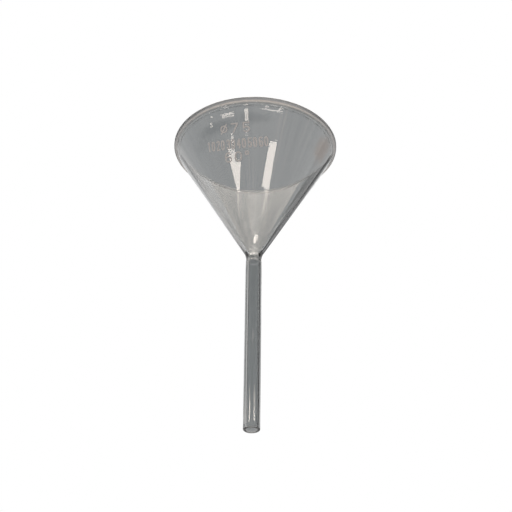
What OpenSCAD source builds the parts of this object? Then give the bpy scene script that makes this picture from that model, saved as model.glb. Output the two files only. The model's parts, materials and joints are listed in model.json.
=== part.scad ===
// Long-stem conical filter funnel in clear borosilicate glass.
// The bowl and the stem tube are fused by a flame seal, so every glass piece meets the next one face to face.
// +Z is up, towards the mouth. The origin is on the axis, at the top of the straight stem, under the seal.
// The enamel print faces -Y.

/* [Bowl] */
// Outer diameter of the mouth, over the rim bead
mouth_d = 75; // [50:1:120]
// Full angle of the cone
cone_angle = 60; // [56:1:64]
// Thickness of the bowl's wall, square to the glass
cone_wall = 1.6; // [1.3:0.1:2.2]

/* [Rim bead] */
// Thickness of the bead that the rim is melted into
bead_d = 1.8; // [1.6:0.1:2.4]
// How far the bead stands out from the outside of the bowl
bead_bulge = 0.7; // [0.4:0.05:0.9]
// Radius of the hollow between the bowl and the bead
bead_fillet_r = 0.8; // [0.4:0.1:1.5]
// Radius of the rim's inner edge
lip_r = 0.6; // [0.3:0.05:0.7]

/* [Stem] */
// Outer diameter of the stem
stem_d = 7; // [6:0.5:10]
// Diameter of the bore through the stem
bore_d = 4.6; // [3:0.2:5]
// Length of the straight stem, with its tip
stem_len = 77; // [40:1:150]
// Length of the stem's end that is melted smooth
tip_len = 2; // [1.5:0.5:5]
// Radius of the tip's outer edge
tip_outer_r = 0.5; // [0.2:0.05:0.5]
// Radius of the tip's inner edge
tip_inner_r = 0.4; // [0.1:0.05:0.4]

/* [Neck seal] */
// Outer diameter of the slight waist that the flame leaves
waist_d = 6.8; // [5.8:0.1:7]
// Length over which the waist widens into the stem
waist_len = 2.7; // [1.5:0.1:5]
// Radius of the sweep from the waist to the outside of the bowl
neck_outer_r = 8; // [4:0.5:12]
// Radius of the sweep from the bore to the inside of the bowl
neck_inner_r = 6; // [3:0.5:10]
// Length of plain cone that belongs to the seal, above both sweeps
seal_margin = 0.5; // [0.2:0.1:3]

/* [Enamel print] */
// Thickness of the enamel
enamel_t = 0.1; // [0.05:0.05:0.2]
// Direction of the middle of the print, to the left of -Y
print_turn = 18; // [0:1:40]
// Lean of the rows, clockwise, on the unrolled bowl
print_lean = 4; // [0:0.5:8]
// Distance from the rim down the slope to the middle of the middle row
print_drop = 20.1; // [18:0.1:22]
// Distance from the middle of the top row to the middle of the middle row
top_pitch = 6.9; // [6.5:0.1:8]
// Distance from the middle of the middle row to the middle of the bottom row
bottom_pitch = 5.6; // [5.5:0.1:7]
// Width of an enamel stroke
stroke_w = 0.5; // [0.3:0.05:0.6]
// Bare glass between two strokes of one figure
stroke_gap = 0.12; // [0.08:0.02:0.3]
// Height of the figures in the top row
top_h = 4.5; // [4:0.1:5.5]
// Width of a figure in the top row
top_w = 3.2; // [2.4:0.1:3.6]
// Space between two figures of the top row
top_gap = 1.9; // [0.8:0.1:2.5]
// Height of the figures in the middle row
middle_h = 4.4; // [3:0.1:4.8]
// Width of a figure in the middle row
middle_w = 1.85; // [1.7:0.05:2]
// Space between the two figures of a number in the middle row
middle_gap = 0.45; // [0.3:0.05:0.8]
// Space between two numbers of the middle row
number_gap = 0.75; // [0.6:0.05:1.5]
// Height of the figures in the bottom row
bottom_h = 4.4; // [3:0.1:4.8]
// Width of a figure in the bottom row
bottom_w = 3.2; // [2.2:0.1:3.4]
// Space between two figures of the bottom row
bottom_gap = 1.4; // [0.6:0.1:2]
// Side of the degree sign
degree_w = 1.9; // [1.6:0.1:2.2]

/* [Hidden] */
$fn = 96;
ARC_STEPS = 12;
GLASS = [0.62, 0.65, 0.66, 0.45];
ENAMEL = [0.66, 0.62, 0.6];

half = cone_angle / 2;
mouth_r = mouth_d / 2;
stem_r = stem_d / 2;
bore_r = bore_d / 2;
waist_r = waist_d / 2;
bead_r = bead_d / 2;

// The sweep starts at the waist, and its centre is neck_outer_r from both the waist and the cone's outside.
waist_z = waist_len;
cone_z = waist_z - ((waist_r + neck_outer_r - stem_r) * cos(half) - neck_outer_r) / sin(half);

// A point of the bowl's wall: s up the slope, from where the outside meets the stem's radius, and n out of it.
function wall_point(s, n) =
    [stem_r + s * sin(half) + n * cos(half), cone_z + s * cos(half) - n * sin(half)];
function inside_r(z) = stem_r + (z - cone_z) * tan(half) - cone_wall / cos(half);
function outside_r(z) = stem_r + (z - cone_z) * tan(half);
function arc(centre, r, from, to) =
    [for (i = [0:ARC_STEPS]) let (a = from + (to - from) * i / ARC_STEPS) centre + r * [cos(a), sin(a)]];

bead_n = bead_bulge - bead_r;
bead_s = (mouth_r - bead_r - stem_r - bead_n * cos(half)) / sin(half);
bead_centre = wall_point(bead_s, bead_n);
hollow_s = bead_s - sqrt(pow(bead_r + bead_fillet_r, 2) - pow(bead_fillet_r - bead_n, 2));
hollow_centre = wall_point(hollow_s, bead_fillet_r);
to_bead = bead_centre - hollow_centre;
hollow_end = atan2(to_bead.y, to_bead.x);
rim_z = bead_centre.y + bead_r;
lip_centre = [inside_r(rim_z - lip_r) + lip_r / cos(half), rim_z - lip_r];
bead_z = wall_point(hollow_s, 0).y;

outer_sweep = [waist_r + neck_outer_r, waist_z];
inner_sweep = [bore_r + neck_inner_r,
    cone_z + ((bore_r + neck_inner_r - stem_r) * cos(half) + cone_wall - neck_inner_r) / sin(half)];
outer_sweep_top = outer_sweep.y + neck_outer_r * sin(half);
inner_sweep_top = inner_sweep.y + neck_inner_r * sin(half);
seal_z = max(outer_sweep_top, inner_sweep_top) + seal_margin;

// The print is drawn on the unrolled bowl, a flat fan whose tip is apex_s below the slope's zero.
apex_s = stem_r / sin(half);
middle_s = (rim_z - cone_z) / cos(half) - print_drop;
layer_top = middle_s + top_pitch + top_h;
layer_foot = middle_s - bottom_pitch - bottom_h;
// Each figure is cut from a stretch of the enamel layer, by a drawing that is carried through it both ways.
LAYER_ANGLE = 40;
CUT_DEPTH = 1;

NUMBERS = [10, 20, 30, 40, 50, 60];
// Strokes of a figure: top, upper right, lower right, foot, lower left, upper left, middle, upright bar.
STROKES = [[0, 1, 2, 3, 4, 5], [1, 2], [0, 1, 6, 4, 3], [0, 1, 6, 2, 3], [5, 6, 1, 2],
    [0, 5, 6, 2, 3], [0, 5, 6, 4, 2, 3], [0, 1, 2], [0, 1, 2, 3, 4, 5, 6], [0, 1, 2, 3, 5, 6],
    [0, 1, 2, 3, 4, 5, 7]];
DIAMETER_SIGN = 10;

// The figures of a whole number, from its highest place.
function figures(n) = n < 10 ? [n] : concat(figures(floor(n / 10)), [n % 10]);

module bowl() {
    color(GLASS) rotate_extrude()
        polygon([[inside_r(seal_z), seal_z], [outside_r(seal_z), seal_z],
            [outside_r(bead_z), bead_z], [inside_r(bead_z), bead_z]]);
}

module rim_bead() {
    color(GLASS) rotate_extrude()
        polygon(concat(
            arc(hollow_centre, bead_fillet_r, 180 - half, hollow_end),
            arc(bead_centre, bead_r, hollow_end - 180, 90),
            arc(lip_centre, lip_r, 90, 180 - half),
            [[inside_r(bead_z), bead_z]]));
}

module neck_seal() {
    color(GLASS) rotate_extrude()
        polygon(concat(
            [for (i = [0:ARC_STEPS - 1]) let (t = i / ARC_STEPS)
                [stem_r + (waist_r - stem_r) * (1 - cos(180 * t)) / 2, waist_z * t]],
            arc(outer_sweep, neck_outer_r, 180, 180 - half),
            [[outside_r(seal_z), seal_z], [inside_r(seal_z), seal_z]],
            arc(inner_sweep, neck_inner_r, 180 - half, 180),
            [[bore_r, 0]]));
}

module stem() {
    color(GLASS) difference() {
        translate([0, 0, tip_len - stem_len]) cylinder(h = stem_len - tip_len, r = stem_r);
        translate([0, 0, -stem_len]) cylinder(h = stem_len + 1, r = bore_r);
    }
}

module stem_tip() {
    end_z = -stem_len;
    color(GLASS) rotate_extrude()
        polygon(concat(
            [[bore_r, end_z + tip_len]],
            arc([bore_r + tip_inner_r, end_z + tip_inner_r], tip_inner_r, 180, 270),
            arc([stem_r - tip_outer_r, end_z + tip_outer_r], tip_outer_r, 270, 360),
            [[stem_r, end_z + tip_len]]));
}

// A flat bar, w wide and h high, round [x, y].
module bar(x, y, w, h) {
    translate([x - w / 2, y - h / 2]) square([w, h]);
}

// One flat figure, w wide and h high, round the origin.
module figure(value, w, h) {
    side_x = (w - stroke_w) / 2;
    end_y = (h - stroke_w) / 2;
    bar_w = w - 2 * stroke_w - 2 * stroke_gap;
    bar_h = (h - stroke_gap) / 2;
    for (k = STROKES[value]) {
        if (k == 7) bar(0, 0, stroke_w, h - 2 * stroke_w - 2 * stroke_gap);
        else if (k == 0 || k == 3 || k == 6) bar(0, k == 0 ? end_y : k == 3 ? -end_y : 0, bar_w, stroke_w);
        else bar(k < 3 ? side_x : -side_x, (k == 1 || k == 5 ? 1 : -1) * (h - bar_h) / 2, stroke_w, bar_h);
    }
}

// Lays a flat drawing on the bowl as enamel: x along the rows and y up, from the middle of the middle row.
module enamel(x, y) {
    across = x * cos(print_lean) + y * sin(print_lean);
    out = apex_s + middle_s - x * sin(print_lean) + y * cos(print_lean);
    turn = atan2(across, out);
    place = wall_point(norm([across, out]) - apex_s, 0);
    color(ENAMEL) rotate([0, 0, turn / sin(half) - 90 - print_turn]) intersection() {
        rotate([0, 0, -LAYER_ANGLE / 2]) rotate_extrude(angle = LAYER_ANGLE)
            polygon([wall_point(layer_foot, 0), wall_point(layer_foot, enamel_t),
                wall_point(layer_top, enamel_t), wall_point(layer_top, 0)]);
        translate([place.x, 0, place.y]) rotate([0, half, 0]) rotate([90, 0, 90])
            rotate([0, 0, turn - print_lean])
                linear_extrude(height = 2 * CUT_DEPTH, center = true) children();
    }
}

// The mouth's diameter, after a diameter sign.
module size_figures() {
    row = concat([DIAMETER_SIGN], figures(round(mouth_d)));
    for (i = [0:len(row) - 1])
        enamel((i - (len(row) - 1) / 2) * (top_w + top_gap), top_pitch) figure(row[i], top_w, top_h);
}

// A plain row of round numbers.
module number_row() {
    step = 2 * middle_w + middle_gap + number_gap;
    for (i = [0:len(NUMBERS) - 1], side = [0, 1])
        enamel((i - (len(NUMBERS) - 1) / 2) * step + (side - 0.5) * (middle_w + middle_gap), 0)
            figure(figures(NUMBERS[i])[side], middle_w, middle_h);
}

// The cone's full angle, with a degree sign.
module angle_figures() {
    row = figures(round(cone_angle));
    step = bottom_w + bottom_gap;
    left = -(len(row) * step + degree_w) / 2;
    for (i = [0:len(row) - 1])
        enamel(left + i * step + bottom_w / 2, -bottom_pitch) figure(row[i], bottom_w, bottom_h);
    enamel(left + len(row) * step + degree_w / 2, (bottom_h - degree_w) / 2 - bottom_pitch)
        figure(0, degree_w, degree_w);
}

bowl();
rim_bead();
neck_seal();
stem();
stem_tip();
size_figures();
number_row();
angle_figures();
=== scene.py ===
"""Long-stem filter funnel: one fused piece of smoke-grey glass with an enamel print, in metres, +Z up."""
import json
import math

import bmesh
import bpy
import numpy as np
from mathutils import Matrix, Vector


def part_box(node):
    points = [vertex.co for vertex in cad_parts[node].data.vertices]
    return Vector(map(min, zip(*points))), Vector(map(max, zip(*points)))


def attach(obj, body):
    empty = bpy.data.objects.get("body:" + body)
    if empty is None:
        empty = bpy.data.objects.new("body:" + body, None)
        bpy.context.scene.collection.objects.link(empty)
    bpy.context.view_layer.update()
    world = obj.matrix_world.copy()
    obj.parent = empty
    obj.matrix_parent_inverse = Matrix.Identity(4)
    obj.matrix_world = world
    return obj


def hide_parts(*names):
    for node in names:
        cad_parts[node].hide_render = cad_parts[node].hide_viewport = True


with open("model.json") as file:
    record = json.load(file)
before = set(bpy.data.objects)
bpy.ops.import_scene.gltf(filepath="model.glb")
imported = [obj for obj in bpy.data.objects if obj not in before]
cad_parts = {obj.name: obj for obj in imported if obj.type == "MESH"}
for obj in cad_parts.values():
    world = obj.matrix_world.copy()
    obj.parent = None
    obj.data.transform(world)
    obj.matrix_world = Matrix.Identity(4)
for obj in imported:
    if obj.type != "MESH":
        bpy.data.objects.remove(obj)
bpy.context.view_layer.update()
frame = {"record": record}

MM = 0.001


# ---- Sizes, from the frame and the glassblower's values --------------------------------------------

def mount(name):
    """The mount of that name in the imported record."""
    return next(m for m in frame["record"]["mounts"] if m["name"] == name)


MOUTH_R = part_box("rim_bead")[1][0]
RIM_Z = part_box("rim_bead")[1][2]
TIP_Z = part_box("stem_tip")[0][2]
STEM_R = mount("stem_outside")["dims"]["r_mm"] * MM
BORE_R = mount("stem_bore")["dims"]["r_mm"] * MM
HALF = math.radians(30)
CONE_WALL = 1.6 * MM
BEAD_R = 0.9 * MM
BEAD_BULGE = 0.7 * MM
HOLLOW_R = 0.8 * MM
LIP_R = 0.6 * MM
WAIST_R = 3.4 * MM
WAIST_Z = 2.7 * MM
NECK_OUTER_R = 8 * MM
NECK_INNER_R = 6 * MM
TIP_OUTER_R = 0.5 * MM
TIP_INNER_R = 0.4 * MM

PRINT_TURN = math.radians(18)
PRINT_LEAN = math.radians(4)
PRINT_DROP = 20.1 * MM
TOP_PITCH = 6.9 * MM
BOTTOM_PITCH = 5.6 * MM
STROKE_W = 0.60 * MM
ENAMEL_T = 0.09 * MM
TOP_W, TOP_H, TOP_GAP = 3.2 * MM, 4.5 * MM, 1.9 * MM
MIDDLE_W, MIDDLE_H, MIDDLE_GAP, NUMBER_GAP = 1.85 * MM, 4.4 * MM, 0.45 * MM, 0.75 * MM
BOTTOM_W, BOTTOM_H, BOTTOM_GAP = 3.2 * MM, 4.4 * MM, 1.4 * MM
DEGREE_W = 1.9 * MM

SIN, COS, TAN = math.sin(HALF), math.cos(HALF), math.tan(HALF)
CONE_Z = WAIST_Z - ((WAIST_R + NECK_OUTER_R - STEM_R) * COS - NECK_OUTER_R) / SIN
APEX_S = STEM_R / SIN
MIDDLE_S = (RIM_Z - CONE_Z) / COS - PRINT_DROP

# Steps round the glass, and along each stretch of its outline.
SIDES = 256
TUBE_STEPS, SHOULDER_STEPS, SWEEP_STEPS, WALL_STEPS = 32, 16, 28, 40
HOLLOW_STEPS, BEAD_STEPS, EDGE_STEPS = 10, 24, 8
BELOW_LIP_STEPS, INSIDE_STEPS, BELOW_LIP_SHARE = 26, 24, 0.07

# Steps along and across a stroke of the print, and how full, domed and uneven it is.
LOOP_STEPS, BEND_STEPS, STROKE_SIDES = 40, 18, 10
FULLNESS, DOME, UNDERSIDE, UNEVEN = 0.8, 0.6, 0.15, 0.06
ROUND_END = np.radians([90, 72, 54, 36, 18])


# ---- Mesh making -----------------------------------------------------------------------------------

def grid_mesh(name, grids, material):
    """An object from grids of points, each (points, closed_u, closed_v), with points that meet merged."""
    corners, faces, start = [], [], 0
    for points, closed_u, closed_v in grids:
        nu, nv = points.shape[:2]
        index = np.arange(nu * nv).reshape(nu, nv) + start
        if closed_u:
            index = np.vstack([index, index[:1]])
        if closed_v:
            index = np.hstack([index, index[:, :1]])
        quads = np.stack([index[:-1, :-1], index[:-1, 1:], index[1:, 1:], index[1:, :-1]], -1)
        faces.append(quads.reshape(-1, 4))
        corners.append(points.reshape(-1, 3))
        start += nu * nv
    corners, faces = np.concatenate(corners), np.concatenate(faces)
    mesh = bpy.data.meshes.new(name)
    mesh.vertices.add(len(corners))
    mesh.vertices.foreach_set("co", corners.reshape(-1))
    mesh.loops.add(faces.size)
    mesh.loops.foreach_set("vertex_index", faces.reshape(-1))
    mesh.polygons.add(len(faces))
    mesh.polygons.foreach_set("loop_start", np.arange(len(faces)) * 4)
    mesh.update(calc_edges=True)
    work = bmesh.new()
    work.from_mesh(mesh)
    bmesh.ops.remove_doubles(work, verts=work.verts, dist=MM / 1000)
    work.to_mesh(mesh)
    work.free()
    mesh.polygons.foreach_set("use_smooth", np.ones(len(mesh.polygons), bool))
    mesh.materials.append(material)
    obj = bpy.data.objects.new(name, mesh)
    bpy.context.collection.objects.link(obj)
    return obj


# ---- Glass -----------------------------------------------------------------------------------------

def wall_point(s, n):
    """(r, z) of a point s up the bowl's outside slope and n out of the glass, at a right angle to it."""
    return np.stack([STEM_R + s * SIN + n * COS, CONE_Z + s * COS - n * SIN], -1)


def inside_r(z):
    """Radius of the bowl's inside at height z: the outside cone moved in by the wall."""
    return STEM_R + (z - CONE_Z) * TAN - CONE_WALL / COS


def arc(centre, r, start, end, n):
    """n + 1 points of a circle: centre + r (cos a, sin a), with a even from start to end in degrees."""
    a = np.radians(np.linspace(start, end, n + 1))
    return np.asarray(centre) + r * np.stack([np.cos(a), np.sin(a)], 1)


def line(p, q, n):
    """n points from p towards q, q left out: p + t (q - p)."""
    t = np.arange(n)[:, None] / n
    return np.asarray(p) + t * (np.asarray(q) - np.asarray(p))


def glass_section():
    """The closed outline of half the glass, as (r, z): up the outside, over the bead, down the inside."""
    bead_n = BEAD_BULGE - BEAD_R
    bead_s = (MOUTH_R - BEAD_R - STEM_R - bead_n * COS) / SIN
    bead = wall_point(bead_s, bead_n)
    hollow_s = bead_s - math.sqrt((BEAD_R + HOLLOW_R) ** 2 - (HOLLOW_R - bead_n) ** 2)
    hollow = wall_point(hollow_s, HOLLOW_R)
    turn = math.degrees(math.atan2(bead[1] - hollow[1], bead[0] - hollow[0]))
    lip = [inside_r(RIM_Z - LIP_R) + LIP_R / COS, RIM_Z - LIP_R]
    slope = 180 - math.degrees(HALF)
    sweep = [WAIST_R + NECK_OUTER_R, WAIST_Z]
    inner_r = BORE_R + NECK_INNER_R
    inner = [inner_r, CONE_Z + ((inner_r - STEM_R) * COS + CONE_WALL - NECK_INNER_R) / SIN]
    t = np.arange(SHOULDER_STEPS)[:, None] / SHOULDER_STEPS
    shoulder = np.hstack([STEM_R + (WAIST_R - STEM_R) * (1 - np.cos(math.pi * t)) / 2, WAIST_Z * t])
    outer_sweep = arc(sweep, NECK_OUTER_R, 180, slope, SWEEP_STEPS)
    hollow_arc = arc(hollow, HOLLOW_R, slope, turn, HOLLOW_STEPS)
    inner_sweep = arc(inner, NECK_INNER_R, slope, 180, SWEEP_STEPS)
    tip_out = arc([STEM_R - TIP_OUTER_R, TIP_Z + TIP_OUTER_R], TIP_OUTER_R, 270, 360, EDGE_STEPS)
    tip_in = arc([BORE_R + TIP_INNER_R, TIP_Z + TIP_INNER_R], TIP_INNER_R, 180, 270, EDGE_STEPS)
    lip_arc = arc(lip, LIP_R, 90, slope, EDGE_STEPS)
    below_lip = lip_arc[-1] + BELOW_LIP_SHARE * (inner_sweep[0] - lip_arc[-1])
    return np.concatenate([
        tip_out, line(tip_out[-1], [STEM_R, 0], TUBE_STEPS)[1:], shoulder,
        outer_sweep, line(outer_sweep[-1], hollow_arc[0], WALL_STEPS)[1:], hollow_arc,
        arc(bead, BEAD_R, turn - 180, 90, BEAD_STEPS)[1:], lip_arc,
        line(lip_arc[-1], below_lip, BELOW_LIP_STEPS)[1:],
        line(below_lip, inner_sweep[0], INSIDE_STEPS), inner_sweep,
        line(inner_sweep[-1], tip_in[0], TUBE_STEPS)[1:], tip_in[:-1]])


def flame_mark(z, depth, middle, reach, waves=1.0):
    """One mark, as depth * exp(-((z - middle) / reach) ** 2) * (1 + waves) / 2.

    The depth and the reach are in millimetres, and the middle is in metres.
    """
    away = (z - middle) / (reach * MM)
    return depth * MM * np.exp(-away ** 2) * (1 + waves) / 2


def flame_work(z, a):
    """How far the glass lies inside its true radius at height z and angle a: what the flame left behind.

    It is a sum of marks, each fading with height from its own middle. Rings, lumps and fine ripples at
    the seal, and waves at the bead and the tip, carry sines of the height and the angle. Of the two folds
    round the rim, the upper one is plain, and the lower one is cut into dashes by a sine of the angle.
    """
    seal_rings = np.sin(z / (0.38 * MM) + 1.6 * np.sin(a) + 0.9 * np.sin(2 * a + 1))
    seal_lumps = np.sin(3 * a + z / (1.1 * MM)) * np.sin(5 * a + 2)
    bead_waves = np.sin(4 * a + 0.6) * np.sin(7 * a + 2.1)
    ripple_turns = np.sin(14 * a + 2 * np.sin(z / (0.5 * MM)))
    ripples = np.sin(z / (0.16 * MM) + 3 * np.sin(2 * a)) * ripple_turns
    dashes = (0.5 + np.sin(55 * a + 3 * np.sin(7 * a))).clip(0, 1)
    tip_waves = np.sin(z / (0.5 * MM) + 2 * np.sin(a)) * np.sin(4 * a + 0.7)
    return (flame_mark(z, 0.10, 1.8 * MM, 1.9, seal_rings)
            + flame_mark(z, 0.06, 4.4 * MM, 2.2, seal_lumps)
            + flame_mark(z, 0.12, 2.6 * MM, 1.8, ripples)
            + flame_mark(z, 0.05, RIM_Z, 2.0, bead_waves)
            + flame_mark(z, 0.10, RIM_Z - 0.9 * MM, 0.3)
            + flame_mark(z, 0.10, RIM_Z - 2.4 * MM, 0.3) * dashes
            + flame_mark(z, 0.05, TIP_Z + 1.5 * MM, 4.5, tip_waves))


def glass_piece(material):
    """The outline carried round the Z axis: (r cos a, r sin a, z), with r less the flame's marks."""
    section = glass_section()
    a = np.arange(SIDES) * 2 * math.pi / SIDES
    r, z = section[:, 0][:, None], section[:, 1][:, None]
    r = r - flame_work(z, a)
    points = np.stack([r * np.cos(a), r * np.sin(a), z + 0 * a], -1)
    return grid_mesh("funnel_glass", [(points, True, True)], material)


# ---- Print -----------------------------------------------------------------------------------------

def loop(y, u, v):
    """A closed line round (0, y), u wide and v high from its middle: an ellipse with fuller corners."""
    a = np.arange(LOOP_STEPS) * 2 * math.pi / LOOP_STEPS
    c, s = np.cos(a), np.sin(a)
    x_share = np.sign(c) * np.abs(c) ** FULLNESS
    y_share = np.sign(s) * np.abs(s) ** FULLNESS
    return np.stack([u * x_share, y + v * y_share], 1)


def bend(y, u, v, start, end):
    """A stretch of an ellipse round (0, y), from start to end in degrees."""
    a = np.radians(np.linspace(start, end, BEND_STEPS + 1))
    return np.stack([u * np.cos(a), y + v * np.sin(a)], 1)


def figure_lines(value, w, h):
    """The middle lines of a figure's strokes, as [(points, closed)]; w and h are over the strokes."""
    u, v = (w - STROKE_W) / 2, (h - STROKE_W) / 2
    # Half the height of a big loop, of a small loop and of a hook.
    big, small, hook = 0.55 * v, 0.46 * v, min(u, v)
    belly = bend(big - v, u, big, 150, -150)
    closed = {
        "0": [loop(0, u, v)],
        "6": [loop(big - v, u, big)],
        "8": [loop(v - small, 0.85 * u, small), loop(big - v, u, big)],
        "9": [loop(v - big, u, big)],
        "/": [loop(0, u, u)]}
    opened = {
        "1": [[(0, -v), (0, v)], [(0, v), (-0.6 * u, v - 0.6 * hook)]],
        "2": [np.vstack([bend(v - hook, u, hook, 165, -30), [(-u, -v)]]), [(-u, -v), (u, -v)]],
        "3": [bend(v - small, u, small, 150, -90), bend(big - v, u, big, 90, -150)],
        "4": [[(0.4 * u, -v), (0.4 * u, v)],
              [(0.4 * u, v), (-u, -0.35 * v)],
              [(-u, -0.35 * v), (u, -0.35 * v)]],
        "5": [[(u, v), (belly[0][0], v)], [(belly[0][0], v), belly[0]], belly],
        "6": [[(-u, big - v), (-u, v - hook)], bend(v - hook, u, hook, 180, 40)],
        "7": [[(-u, v), (u, v)], [(u, v), (-0.6 * u, -v)]],
        "9": [[(u, v - big), (u, hook - v)], bend(hook - v, u, hook, 0, -140)],
        "/": [[(-u, -v), (u, v)]]}
    return ([(p, True) for p in closed.get(value, [])]
            + [(np.asarray(p, float), False) for p in opened.get(value, [])])


def on_bowl(flat):
    """Lays (x, y, n) of the print on the bowl: x along the rows, y up the slope, n out of the glass.

    The unrolled cone is a fan, where a point's distance from the tip is its way up the slope, and its
    angle from the print's middle is its angle round the Z axis times the sine of the cone's half angle.
    """
    x, y, n = flat[..., 0], flat[..., 1], flat[..., 2]
    across = x * math.cos(PRINT_LEAN) + y * math.sin(PRINT_LEAN)
    out = APEX_S + MIDDLE_S - x * math.sin(PRINT_LEAN) + y * math.cos(PRINT_LEAN)
    a = np.arctan2(across, out) / SIN - math.pi / 2 - PRINT_TURN
    rz = wall_point(np.hypot(across, out) - APEX_S, n)
    return np.stack([rz[..., 0] * np.cos(a), rz[..., 0] * np.sin(a), rz[..., 1]], -1)


def stroke_grid(points, closed, rng):
    """A low domed ridge of enamel along a line: width * cos b across, thickness * |sin b| ** DOME high.

    Beneath, it dips by UNDERSIDE * thickness * |sin b|, and the thickness goes with the square root of
    the width. An open line is carried on past its ends, where the width follows a half circle to nothing.
    """
    half_w = STROKE_W / 2
    if not closed:
        first, last = points[0] - points[1], points[-1] - points[-2]
        reach = half_w * np.sin(ROUND_END)[:, None]
        before = points[0] + reach * first / np.linalg.norm(first)
        after = points[-1] + reach[::-1] * last / np.linalg.norm(last)
        if len(points) == 2:
            steps = max(2, int(np.linalg.norm(last) / half_w))
            points = points[0] + np.linspace(0, 1, steps + 1)[:, None] * (points[1] - points[0])
        taper = np.cos(ROUND_END)
        width = np.concatenate([taper, np.ones(len(points)), taper[::-1]])
        points = np.vstack([before, points, after])
        ahead = np.gradient(points, axis=0)
    else:
        width = np.ones(len(points))
        ahead = np.roll(points, -1, 0) - np.roll(points, 1, 0)
    side = np.stack([ahead[:, 1], -ahead[:, 0]], 1) / np.linalg.norm(ahead, axis=1)[:, None]
    width = half_w * width * (1 + UNEVEN * rng.standard_normal(len(width)))
    b = np.arange(STROKE_SIDES) * 2 * math.pi / STROKE_SIDES
    spread = width[:, None] * np.cos(b)
    rise = ENAMEL_T * np.where(np.sin(b) > 0, np.abs(np.sin(b)) ** DOME, UNDERSIDE * np.sin(b))
    rise = rise * (width / half_w).clip(0, 1)[:, None] ** 0.5
    flat = np.concatenate([points[:, None] + side[:, None] * spread[..., None], rise[..., None]], -1)
    return on_bowl(flat), closed, True


def print_piece(name, node, figures, material):
    """One row of figures, each (value, x, y, width, height), in place of the CAD node of that row."""
    rng = np.random.default_rng(len(name))
    grids = []
    for value, x, y, w, h in figures:
        for points, closed in figure_lines(value, w, h):
            grids.append(stroke_grid(points + np.array([x, y]), closed, rng))
    piece = grid_mesh(name, grids, material)
    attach(piece, "root")
    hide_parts(node)


def even_row(values, y, w, h, gap):
    """Figures side by side, with their middle at x = 0."""
    return [(v, (i - (len(values) - 1) / 2) * (w + gap), y, w, h) for i, v in enumerate(values)]


def number_figures():
    """Six round numbers side by side, two figures each."""
    numbers = ("10", "20", "30", "40", "50", "60")
    pitch = MIDDLE_W + MIDDLE_GAP
    step = 2 * MIDDLE_W + MIDDLE_GAP + NUMBER_GAP
    middle = (len(numbers) - 1) / 2
    return [(figure, (i - middle) * step + (side - 0.5) * pitch, 0, MIDDLE_W, MIDDLE_H)
            for i, number in enumerate(numbers)
            for side, figure in enumerate(number)]


def angle_figures():
    """The cone's full angle in degrees, and a degree sign level with the figures' tops."""
    step = BOTTOM_W + BOTTOM_GAP
    left = -(2 * step + DEGREE_W) / 2
    degree_y = (BOTTOM_H - DEGREE_W) / 2 - BOTTOM_PITCH
    return [("6", left + BOTTOM_W / 2, -BOTTOM_PITCH, BOTTOM_W, BOTTOM_H),
            ("0", left + step + BOTTOM_W / 2, -BOTTOM_PITCH, BOTTOM_W, BOTTOM_H),
            ("0", left + 2 * step + DEGREE_W / 2, degree_y, DEGREE_W, DEGREE_W)]


# ---- Shader nodes ----------------------------------------------------------------------------------

def add(tree, kind, values=(), **options):
    """A new node: options are its settings, values its (input, value) pairs; a socket given is linked."""
    node = tree.nodes.new("ShaderNode" + kind)
    for key, value in options.items():
        setattr(node, key, value)
    for key, value in values:
        if isinstance(value, bpy.types.NodeSocket):
            tree.links.new(value, node.inputs[key])
        else:
            node.inputs[key].default_value = value
    return node


def calc(tree, operation, *values, clamp=False):
    """The result of a Math node on values or sockets."""
    return add(tree, "Math", enumerate(values), operation=operation, use_clamp=clamp).outputs[0]


def vector_calc(tree, operation, *values):
    """The result of a Vector Math node on (input, value) pairs."""
    return add(tree, "VectorMath", values, operation=operation).outputs[0]


def along(tree, vector, axis):
    """How far a vector goes along one axis."""
    return add(tree, "SeparateXYZ", [(0, vector)]).outputs[axis]


def ramp(tree, value, start, end, low=0.0, high=1.0, curve="LINEAR"):
    """A value between start and end, brought to between low and high and held there."""
    given = [("Value", value), ("From Min", start), ("From Max", end)]
    wanted = [("To Min", low), ("To Max", high)]
    return add(tree, "MapRange", given + wanted, interpolation_type=curve).outputs[0]


def blend(tree, factor, a, b):
    """Two colours mixed by a factor."""
    return add(tree, "Mix", [(0, factor), (6, a), (7, b)], data_type="RGBA").outputs[2]


def noise(tree, vector, scale, detail=3.0, roughness=0.6):
    """Smooth noise from 0 to 1."""
    values = [("Vector", vector), ("Scale", scale), ("Detail", detail), ("Roughness", roughness)]
    return add(tree, "TexNoise", values).outputs[0]


def new_group(name, inputs, output):
    """An empty node group that takes a Vector and floats, each (name, default), and puts out one float.

    It comes as (group, the sockets it is given, the sockets it puts out).
    """
    group = bpy.data.node_groups.new(name, "ShaderNodeTree")
    group.interface.new_socket("Vector", in_out="INPUT", socket_type="NodeSocketVector")
    for label, value in inputs:
        socket = group.interface.new_socket(label, in_out="INPUT", socket_type="NodeSocketFloat")
        socket.default_value = value
    group.interface.new_socket(output, in_out="OUTPUT", socket_type="NodeSocketFloat")
    return group, group.nodes.new("NodeGroupInput").outputs, group.nodes.new("NodeGroupOutput").inputs


def place(tree, group, vector, **values):
    """A node group put into a tree, with a value for each named input."""
    node = tree.nodes.new("ShaderNodeGroup")
    node.node_tree = group
    tree.links.new(vector, node.inputs["Vector"])
    for key, value in values.items():
        node.inputs[key].default_value = value
    return node.outputs[0]


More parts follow.
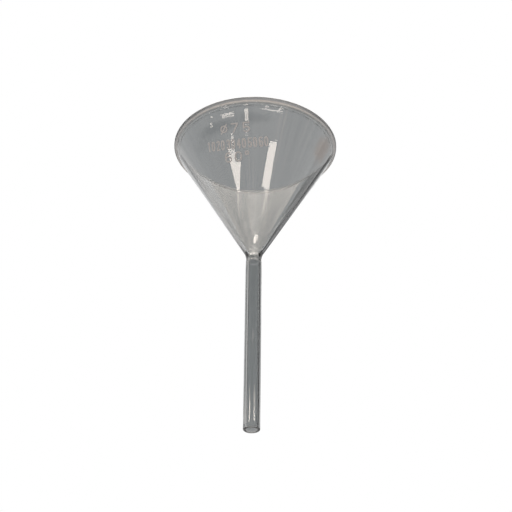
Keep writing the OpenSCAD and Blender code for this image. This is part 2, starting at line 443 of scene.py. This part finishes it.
def reflection_streaks_group():
    """Painted reflection, in streaks down the slope: noise on the unit circle round the Z axis, drawn out
    along Z.
    """
    group, given, out = new_group("painted_reflection_streaks", [("Fineness", 8.0), ("Drift", 12.0)], "Streaks")
    flat = vector_calc(group, "MULTIPLY", (0, given["Vector"]), (1, (1, 1, 0)))
    around = vector_calc(group, "NORMALIZE", (0, flat))
    wide = vector_calc(group, "SCALE", (0, around), ("Scale", given["Fineness"]))
    drift = calc(group, "MULTIPLY", along(group, given["Vector"], "Z"), given["Drift"])
    lift = add(group, "CombineXYZ", [("Z", drift)]).outputs[0]
    spot = vector_calc(group, "ADD", (0, wide), (1, lift))
    group.links.new(noise(group, spot, 1.0, detail=4.0), out["Streaks"])
    return group


def smudge_and_painted_light_group():
    """A soft-edged mark: the distance from its middle, in units of its size, frayed by noise and faded."""
    fray_scale, fray, clear_at, full_at = 320.0, 0.9, 1.15, 0.35
    inputs = [("X", 0.0), ("Y", 0.0), ("Z", 0.0), ("Width", 0.01), ("Height", 0.01)]
    group, given, out = new_group("smudge_and_painted_light", inputs, "Mask")
    at = add(group, "SeparateXYZ", [(0, given["Vector"])]).outputs
    squares = []
    for axis, size in (("X", "Width"), ("Y", "Width"), ("Z", "Height")):
        gap = calc(group, "SUBTRACT", at[axis], given[axis])
        share = calc(group, "DIVIDE", gap, given[size])
        squares.append(calc(group, "POWER", calc(group, "ABSOLUTE", share), 2.0))
    total = calc(group, "ADD", calc(group, "ADD", squares[0], squares[1]), squares[2])
    wobble = calc(group, "SUBTRACT", noise(group, given["Vector"], fray_scale), 0.5)
    edge = calc(group, "ADD", calc(group, "SQRT", total), calc(group, "MULTIPLY", wobble, fray))
    group.links.new(ramp(group, edge, clear_at, full_at, curve="SMOOTHSTEP"), out["Mask"])
    return group


def band_group():
    """A soft line round the glass at one height, broken into dashes by noise on the way round."""
    break_scale, gap_at, dash_at = 420.0, 0.42, 0.56
    group, given, out = new_group("band", [("Level", 0.0), ("Reach", 0.001), ("Breaks", 0.5)], "Mask")
    height = along(group, given["Vector"], "Z")
    away = calc(group, "ABSOLUTE", calc(group, "SUBTRACT", height, given["Level"]))
    near = calc(group, "SUBTRACT", 1.0, calc(group, "DIVIDE", away, given["Reach"]), clamp=True)
    dashes = ramp(group, noise(group, given["Vector"], break_scale), gap_at, dash_at)
    gap = calc(group, "MULTIPLY", calc(group, "SUBTRACT", 1.0, dashes), given["Breaks"])
    group.links.new(calc(group, "MULTIPLY", near, calc(group, "SUBTRACT", 1.0, gap)), out["Mask"])
    return group


def rings_group():
    """Fine rings left by the shaping tool: two sines of the height, their phase moved by noise."""
    wander_scale, coarse_pace, coarse_share = 90.0, 0.41, 1.6
    group, given, out = new_group("tool_rings", [("Pitch", 0.001), ("Wander", 3.0)], "Rings")
    height = along(group, given["Vector"], "Z")
    drift = noise(group, given["Vector"], wander_scale, detail=2.0, roughness=0.5)
    wander = calc(group, "MULTIPLY", drift, given["Wander"])
    turns = calc(group, "DIVIDE", calc(group, "MULTIPLY", height, 2 * math.pi), given["Pitch"])
    fine = calc(group, "SINE", calc(group, "ADD", turns, wander))
    coarse_turns = calc(group, "MULTIPLY", turns, coarse_pace)
    coarse = calc(group, "SINE", calc(group, "ADD", coarse_turns, wander))
    both = calc(group, "ADD", fine, calc(group, "MULTIPLY", coarse, coarse_share))
    group.links.new(both, out["Rings"])
    return group


# ---- Materials -------------------------------------------------------------------------------------

SMOKE_DARK = (0.430, 0.452, 0.458, 1)
SMOKE_LIGHT = (0.550, 0.562, 0.562, 1)
WARM_PAINTED_REFLECTION = (0.70, 0.635, 0.59, 1)
SMEAR = (0.19, 0.21, 0.22, 1)
PAINTED_REFLECTION_PATCH = (0.49, 0.43, 0.39, 1)
PAINTED_SHADE_RING = (0.10, 0.115, 0.12, 1)
PAINTED_HIGHLIGHT_RING = (0.95, 0.93, 0.91, 1)
STEM_PAINTED_HIGHLIGHT = (1.0, 0.94, 0.90, 1)
CROWN_PAINTED_HIGHLIGHT = (0.60, 0.56, 0.535, 1)
ENAMEL_THICK = (0.42, 0.375, 0.35, 1)
ENAMEL_THIN = (0.52, 0.47, 0.44, 1)

GLASS_IOR, SMOKE_DENSITY = 1.474, 12.0
RING_ROUGH, BEAD_ROUGH, TIP_ROUGH = 0.6, 0.35, 0.4
BROAD_SHARE, FINE_SHARE, WARM_SHARE = 0.6, 0.4, 0.5
TOOL_PITCH, TOOL_WANDER, TOOL_DEPTH = 0.8 * MM, 3.0, 2.5e-7

# Where the painted reflection streaks turn from dark to light and from grey to warm, and the heights
# between which the crown's painted warm highlight and the bead's roughness come in.
STREAK_SPAN = (0.3, 0.7)
WARM_SPAN = (0.60, 0.74)
CROWN_HIGHLIGHT_SPAN = (RIM_Z - 1.1 * MM, RIM_Z - 0.2 * MM)
BEAD_SPAN = (RIM_Z - 2.0 * MM, RIM_Z - 1.6 * MM)

# Marks on the bowl: degrees from -Y towards +X, way up from the cone's foot, reach round and up, strength.
SMEARS = (
    (-33, 49.5 * MM, 12 * MM, 2.8 * MM, 0.40),
    (-2, 51 * MM, 10 * MM, 2.6 * MM, 0.28),
    (-52, 46 * MM, 9 * MM, 3 * MM, 0.12))
# Painted reflection: a warm, brownish patch laid into the glass's colour.
PAINTED_REFLECTION_PATCHES = ((72, 50 * MM, 7.5 * MM, 7.5 * MM, 0.9),)

# Rings round the glass: level, reach, how far noise breaks them up, strength.
# Painted shade: dark lines at the rim, where its edges look dark.
PAINTED_SHADE_RINGS = (
    (RIM_Z - 2.45 * MM, 0.6 * MM, 0.7, 0.75),
    (RIM_Z - 0.35 * MM, 0.4 * MM, 0.2, 0.6),
    (RIM_Z - 1.25 * MM, 0.22 * MM, 0.3, 0.5))
# Painted highlights: light lines and glints at the rim, the seal and the tip.
PAINTED_HIGHLIGHT_RINGS = (
    (RIM_Z - 1.85 * MM, 0.3 * MM, 0.6, 0.7),
    (1.7 * MM, 0.9 * MM, 0.4, 0.9),
    (4.3 * MM, 0.9 * MM, 1.0, 0.8),
    (TIP_Z, 1.4 * MM, 0.2, 0.7))

# Painted highlights: pale streaks down the stem, in millimetres: x, y and z of the middle, and half the
# length.
STEM_HIGHLIGHT_W, STEM_HIGHLIGHT_SHARE = 0.5 * MM, 0.8
STEM_PAINTED_HIGHLIGHTS = (
    (1.35, -3.23, -69, 8.5),
    (-0.67, -3.43, -68, 6.5),
    (0.1, -3.5, -74, 2.5),
    (0.1, -3.5, -36, 5))


def new_material(name):
    """An empty node material: (material, its tree, its output)."""
    mat = bpy.data.materials.new(name)
    mat.use_nodes = True
    mat.node_tree.nodes.clear()
    return mat, mat.node_tree, mat.node_tree.nodes.new("ShaderNodeOutputMaterial")


def tinted(tree, colour, mask, strength, tint):
    """A colour with a tint laid over it where a mask is, as strongly as that."""
    return blend(tree, calc(tree, "MULTIPLY", mask, strength), colour, tint)


def bowl_mark(tree, smudge_and_painted_light, spot, turn, up, width, height):
    """The mask of a mark on the bowl's outside, for the smears and the painted reflection patch, where the
    radius is the stem's plus up * tan HALF.
    """
    a, r = math.radians(turn - 90), STEM_R + up * TAN
    x, y = r * math.cos(a), r * math.sin(a)
    return place(tree, smudge_and_painted_light, spot, X=x, Y=y, Z=CONE_Z + up, Width=width, Height=height)


def glass_material(streaks, smudge_and_painted_light, band, rings):
    """Smoke-grey glass, tinted at the surface and in the depth.

    It has painted reflection streaks, smears, a patch of painted reflection, dark rings of painted shade
    at the rim, light rings of painted highlight at the rim, the seal and the tip, painted highlight
    streaks on the stem and a painted warm highlight at the crown. It is less polished at the dark rings,
    the bead and the tip.
    """
    mat, tree, out = new_material("smoke_grey_glass")
    spot = add(tree, "TexCoord").outputs["Object"]
    height = along(tree, spot, "Z")
    # Painted reflection: streaks down the slope, lighter and warmer, laid into the glass's tint.
    broad = place(tree, streaks, spot, Fineness=3.0, Drift=10.0)
    fine = place(tree, streaks, spot, Fineness=24.0, Drift=14.0)
    broad_part = calc(tree, "MULTIPLY", broad, BROAD_SHARE)
    lines = calc(tree, "ADD", broad_part, calc(tree, "MULTIPLY", fine, FINE_SHARE))
    colour = blend(tree, ramp(tree, lines, *STREAK_SPAN), SMOKE_DARK, SMOKE_LIGHT)
    colour = tinted(tree, colour, ramp(tree, fine, *WARM_SPAN), WARM_SHARE, WARM_PAINTED_REFLECTION)
    # Smears, and the patch of painted reflection, laid over the colour.
    for tint, marks in ((SMEAR, SMEARS), (PAINTED_REFLECTION_PATCH, PAINTED_REFLECTION_PATCHES)):
        for *where, strength in marks:
            colour = tinted(tree, colour, bowl_mark(tree, smudge_and_painted_light, spot, *where), strength, tint)
    rough = 0.0
    # Painted shade: dark lines round the rim, where the glass is also less polished.
    for level, reach, breaks, strength in PAINTED_SHADE_RINGS:
        mask = place(tree, band, spot, Level=level, Reach=reach, Breaks=breaks)
        colour = tinted(tree, colour, mask, strength, PAINTED_SHADE_RING)
        rough = calc(tree, "MAXIMUM", rough, calc(tree, "MULTIPLY", mask, RING_ROUGH))
    # Painted highlights: light rings at the rim, the seal and the tip.
    for level, reach, breaks, strength in PAINTED_HIGHLIGHT_RINGS:
        mask = place(tree, band, spot, Level=level, Reach=reach, Breaks=breaks)
        colour = tinted(tree, colour, mask, strength, PAINTED_HIGHLIGHT_RING)
    # Painted highlights: pale streaks down the stem.
    for x, y, z, length in STEM_PAINTED_HIGHLIGHTS:
        mask = place(tree, smudge_and_painted_light, spot, X=x * MM, Y=y * MM, Z=z * MM,
                     Width=STEM_HIGHLIGHT_W, Height=length * MM)
        colour = tinted(tree, colour, mask, STEM_HIGHLIGHT_SHARE, STEM_PAINTED_HIGHLIGHT)
    # Painted highlight: a lighter, warmer band at the top of the rim.
    colour = blend(tree, ramp(tree, height, *CROWN_HIGHLIGHT_SPAN), colour, CROWN_PAINTED_HIGHLIGHT)
    bead = ramp(tree, height, *BEAD_SPAN, high=BEAD_ROUGH)
    rough = calc(tree, "MAXIMUM", rough, bead)
    tip = place(tree, band, spot, Level=TIP_Z, Reach=1.6 * MM, Breaks=0.0)
    rough = calc(tree, "MAXIMUM", rough, calc(tree, "MULTIPLY", tip, TIP_ROUGH))
    tooling = place(tree, rings, spot, Pitch=TOOL_PITCH, Wander=TOOL_WANDER)
    bump = add(tree, "Bump", [("Height", tooling), ("Strength", 1.0), ("Distance", TOOL_DEPTH)])
    shader = add(tree, "BsdfPrincipled", [
        ("Base Color", colour), ("Roughness", rough), ("IOR", GLASS_IOR),
        ("Transmission Weight", 1.0), ("Normal", bump.outputs[0])])
    depth = add(tree, "VolumeAbsorption", [("Color", (0, 0, 0, 1)), ("Density", SMOKE_DENSITY)])
    tree.links.new(shader.outputs[0], out.inputs["Surface"])
    tree.links.new(depth.outputs[0], out.inputs["Volume"])
    return mat


def enamel_material():
    """Fired enamel: a warm grey, thinner in places, with a grainy satin surface."""
    patch_scale, grain_scale, grain_depth = 700.0, 9000.0, 0.02 * MM
    smooth, coarse = 0.40, 0.62
    mat, tree, out = new_material("fired_enamel")
    spot = add(tree, "TexCoord").outputs["Object"]
    colour = blend(tree, noise(tree, spot, patch_scale), ENAMEL_THICK, ENAMEL_THIN)
    grain = noise(tree, spot, grain_scale, detail=2.0)
    rough = ramp(tree, grain, 0, 1, smooth, coarse)
    bump = add(tree, "Bump", [("Height", grain), ("Strength", 0.6), ("Distance", grain_depth)])
    values = [("Base Color", colour), ("Roughness", rough), ("Normal", bump.outputs[0])]
    tree.links.new(add(tree, "BsdfPrincipled", values).outputs[0], out.inputs["Surface"])
    return mat


# ---- The funnel ------------------------------------------------------------------------------------

glass = glass_piece(glass_material(reflection_streaks_group(), smudge_and_painted_light_group(), band_group(), rings_group()))
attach(glass, "root")
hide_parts("bowl", "rim_bead", "neck_seal", "stem", "stem_tip")

enamel = enamel_material()
print_piece("size_print", "size_figures", even_row("/75", TOP_PITCH, TOP_W, TOP_H, TOP_GAP), enamel)
print_piece("number_print", "number_row", number_figures(), enamel)
print_piece("angle_print", "angle_figures", angle_figures(), enamel)


# ---- Camera, light and floor -----------------------------------------------------------------------

def set_camera():
    """A camera below the mouth that looks up at the outside of the bowl, with a slight lean.

    It is set by a point on the axis, which its view shows a little to one side of the middle and above it.
    """
    tilt, lean = math.radians(31.25), math.radians(-0.704)
    distance, aside, above = 14.525 * MOUTH_R, -0.0091 * MOUTH_R, 1.3325 * MOUTH_R
    point = Vector((0, 0, CONE_Z + 58.217 * MM))
    back = Vector((0, -math.cos(tilt), -math.sin(tilt)))
    across = Vector((1, 0, 0))
    up = back.cross(across)
    cam_x = math.cos(lean) * across - math.sin(lean) * up
    cam_y = math.sin(lean) * across + math.cos(lean) * up
    data = bpy.data.cameras.new("camera")
    data.sensor_width = 36
    data.lens = 82.715625
    data.clip_start = 0.01
    camera = bpy.data.objects.new("camera", data)
    camera.matrix_world = Matrix((cam_x[:], cam_y[:], back[:])).transposed().to_4x4()
    camera.matrix_world.translation = point - aside * cam_x - above * cam_y + distance * back
    bpy.context.collection.objects.link(camera)
    bpy.context.scene.camera = camera


WARM = (1.0, 0.91, 0.83)
SOFT = (1.0, 0.945, 0.905)
WHITE = (1.0, 1.0, 1.0)
COOL = (0.96, 1.0, 1.01)
BLACK = (0.02, 0.02, 0.02)
REFLECTED, THROUGH, EITHER = "GLOSSY", "TRANSMISSION", "GLOSSY TRANSMISSION"

# Windows and lamps low in front: name, corners and glow.
WINDOWS = (
    ("left_window", [(-0.475, -0.382, -0.157), (-0.283, -0.525, -0.197),
                     (-0.399, -0.436, -0.204), (-0.453, -0.386, -0.191)], 14),
    ("left_window_top", [(-0.453, -0.410, -0.155), (-0.362, -0.485, -0.175),
                         (-0.383, -0.464, -0.181), (-0.477, -0.380, -0.157)], 11.5),
    ("left_tail", [(-0.445, -0.396, -0.191), (-0.402, -0.434, -0.202),
                   (-0.526, -0.283, -0.182), (-0.547, -0.247, -0.172)], 4),
    ("left_bits", [(-0.386, -0.475, -0.158), (-0.359, -0.494, -0.163),
                   (-0.378, -0.475, -0.169), (-0.415, -0.447, -0.162)], 10),
    ("right_window", [(0.255, -0.546, -0.184), (0.364, -0.487, -0.168),
                      (0.379, -0.451, -0.208), (0.190, -0.550, -0.227)], 14),
    ("right_tail", [(0.310, -0.496, -0.218), (0.370, -0.458, -0.208),
                    (0.342, -0.464, -0.235), (0.288, -0.496, -0.243)], 4),
    ("lamp_left", [(-0.470, -0.411, -0.123), (-0.461, -0.422, -0.122),
                   (-0.301, -0.539, -0.151), (-0.308, -0.533, -0.154)], 10),
    ("lamp_middle", [(-0.163, -0.592, -0.161), (-0.108, -0.604, -0.164),
                     (-0.109, -0.597, -0.178), (-0.162, -0.586, -0.175)], 10),
    ("lamp_right", [(0.059, -0.611, -0.164), (0.060, -0.610, -0.166),
                    (0.379, -0.492, -0.137), (0.375, -0.496, -0.136)], 11),
    ("lamp_corner", [(0.282, -0.548, -0.153), (0.383, -0.489, -0.138),
                     (0.389, -0.483, -0.139), (0.286, -0.545, -0.154)], 11),
    ("lamp_low", [(-0.042, -0.551, -0.284), (0.219, -0.512, -0.274),
                  (0.263, -0.497, -0.264), (0.057, -0.554, -0.275)], 14),
    ("glint_high", [(-0.567, -0.284, -0.082), (-0.545, -0.320, -0.093),
                    (-0.549, -0.313, -0.093), (-0.571, -0.276, -0.081)], 9),
    ("glint_mid", [(-0.581, -0.252, -0.081), (-0.562, -0.287, -0.092),
                   (-0.567, -0.276, -0.091), (-0.586, -0.240, -0.080)], 9),
    ("glint_print", [(-0.171, -0.579, -0.183), (-0.130, -0.589, -0.185),
                     (-0.132, -0.587, -0.187), (-0.173, -0.578, -0.185)], 7))

# The box overhead: its height, front, back and half its width, and its bays from left to right, each with
# its name, where it starts and ends, and its glow at either end.
BOX_Z, BOX_FRONT, BOX_BACK, BOX_HALF = 0.60, -0.25, 0.30, 0.45
BAYS = (
    ("overhead_far_left", -BOX_HALF, -0.16, 1.5, 3.3),
    ("overhead_left", -0.16, 0, 3.3, 6.9),
    ("overhead_right", 0, 0.16, 6.9, 3.5),
    ("overhead_far_right", 0.16, BOX_HALF, 3.5, 2.6))

# Fills for the stem, round the camera's side: the turns between which they stand, and how wide each is.
FILL_START, FILL_END, FILL_WIDTH = 110, 250, 20

# How bright the world is as a light, and the floor's size, height, grey and glow.
SKY_SHADE = 0.8
FLOOR_HALF, FLOOR_Z = 6, -0.46
FLOOR_GREY, FLOOR_LIFT = 0.9, 0.28


def panel(name, corners, first, last=None, seen=REFLECTED, colour=WARM, axis=0):
    """A flat four-cornered panel that glows from first to last along an axis; 0 makes it a card.

    It shows in reflections, through the glass or both, and lights no matt surface.
    """
    mesh = bpy.data.meshes.new(name)
    mesh.from_pydata(corners, [], [(0, 1, 2, 3)])
    obj = bpy.data.objects.new(name, mesh)
    bpy.context.collection.objects.link(obj)
    mat, tree, out = new_material(name)
    if first:
        ends = [corner[axis] for corner in corners]
        across = along(tree, add(tree, "TexCoord").outputs["Object"], axis)
        glow = ramp(tree, across, min(ends), max(ends), first, last or first)
        shader = add(tree, "Emission", [("Color", (*colour, 1)), ("Strength", glow)])
    else:
        shader = add(tree, "BsdfDiffuse", [("Color", (*colour, 1))])
    tree.links.new(shader.outputs[0], out.inputs["Surface"])
    mesh.materials.append(mat)
    obj.visible_camera = False
    obj.visible_diffuse = False
    obj.visible_glossy = REFLECTED in seen
    obj.visible_transmission = THROUGH in seen


def rectangle(x0, x1, y0, y1, z):
    """Four corners of a level rectangle."""
    return [(x0, y0, z), (x1, y0, z), (x1, y1, z), (x0, y1, z)]


def sky_patch(turn0, turn1, rise0, rise1, distance=1.1):
    """Four corners of an upright panel: turned from +Y towards +X, and raised, by so many degrees."""
    x0, x1 = (math.sin(math.radians(turn)) * distance for turn in (turn0, turn1))
    y0, y1 = (math.cos(math.radians(turn)) * distance for turn in (turn0, turn1))
    z0, z1 = (math.tan(math.radians(rise)) * distance for rise in (rise0, rise1))
    return [(x0, y0, z0), (x1, y1, z0), (x1, y1, z1), (x0, y0, z1)]


def studio():
    """Windows low in front that draw strips on the bowl, and a wide box overhead that lights the far wall.

    The fills and glints on the camera's side are for the stem and its tip. The flags, cards and glows
    behind shade or lift what is seen through the glass and in its edges.
    """
    for name, corners, glow in WINDOWS:
        panel(name, corners, glow)
    for name, x0, x1, first, last in BAYS:
        panel(name, rectangle(x0, x1, BOX_FRONT, BOX_BACK, BOX_Z), first, last)
    panel("overhead_back", rectangle(0, BOX_HALF, BOX_BACK, 0.58, BOX_Z), 3.5, 1, colour=SOFT, axis=1)
    panel("far_rim_flag", sky_patch(-40, 40, 28, 48), 0, colour=BLACK)
    panel("rim_glow", rectangle(-BOX_HALF, BOX_HALF, BOX_FRONT, 0.50, BOX_Z), 0.75, seen=THROUGH)
    for i, turn in enumerate(range(FILL_START, FILL_END, FILL_WIDTH)):
        corners = sky_patch(turn, turn + FILL_WIDTH, 14, 42, 1.0)
        panel(f"front_fill_{i}", corners, 2.3, 0.1, colour=COOL, axis=2)
    panel("right_flag", sky_patch(20, 62, 8, 40), 0, seen=THROUGH, colour=BLACK)
    panel("right_edge_flag", sky_patch(86, 104, 8, 40), 0, colour=BLACK)
    panel("left_edge_flag", sky_patch(-34, -22, 22, 40), 0, seen=THROUGH, colour=BLACK)
    panel("left_low_card", sky_patch(-46, -6, -8, 20), 0.8, seen=THROUGH, colour=SOFT)
    panel("right_low_flag", sky_patch(8, 34, 2, 27), 0.28, seen=EITHER, colour=WHITE)
    panel("left_glow", sky_patch(-84, -60, 8, 40), 1.0, seen=THROUGH, colour=SOFT)
    wall = [(-1.3, 1, 0.2), (1.3, 1, 0.2), (1.3, 1, 1.5), (-1.3, 1, 1.5)]
    panel("grey_card", wall, 0.50, seen=THROUGH, colour=WHITE)
    panel("tip_glint_left", sky_patch(205, 216, 17.9, 21.7, 0.95), 26, 5, axis=2)
    panel("tip_glint_right", sky_patch(143, 155, 17.9, 21.7, 0.95), 26, 5, axis=2)


def looked_at(tree):
    """One for what the camera, a reflection or the glass sees, and zero for what lights the object."""
    path = add(tree, "LightPath").outputs
    seen = calc(tree, "ADD", path["Is Camera Ray"], path["Is Glossy Ray"])
    return calc(tree, "ADD", seen, path["Is Transmission Ray"], clamp=True)


def studio_world():
    """White wherever the camera, a reflection or the glass looks, and a plain soft level as a light."""
    world = bpy.data.worlds.new("studio")
    world.use_nodes = True
    bpy.context.scene.world = world
    tree = world.node_tree
    tree.nodes.clear()
    level = ramp(tree, looked_at(tree), 0, 1, SKY_SHADE, 1)
    sky = add(tree, "Background", [("Color", (*WHITE, 1)), ("Strength", level)])
    tree.links.new(sky.outputs[0], add(tree, "OutputWorld").inputs["Surface"])


def pale_floor():
    """A wide matt floor, well below the camera, lifted towards white for whatever looks at it."""
    corners = rectangle(-FLOOR_HALF, FLOOR_HALF, -FLOOR_HALF, FLOOR_HALF, FLOOR_Z)
    mesh = bpy.data.meshes.new("floor")
    mesh.from_pydata(corners, [], [(0, 1, 2, 3)])
    mat, tree, out = new_material("pale_floor")
    matt = add(tree, "BsdfDiffuse", [("Color", (FLOOR_GREY, FLOOR_GREY, FLOOR_GREY, 1))])
    glow = calc(tree, "MULTIPLY", looked_at(tree), FLOOR_LIFT)
    lift = add(tree, "Emission", [("Color", (*WHITE, 1)), ("Strength", glow)])
    both = add(tree, "AddShader", [(0, matt.outputs[0]), (1, lift.outputs[0])])
    tree.links.new(both.outputs[0], out.inputs["Surface"])
    mesh.materials.append(mat)
    floor = bpy.data.objects.new("floor", mesh)
    bpy.context.collection.objects.link(floor)


set_camera()
studio()
studio_world()
pale_floor()
bpy.context.scene.view_settings.view_transform = "Standard"
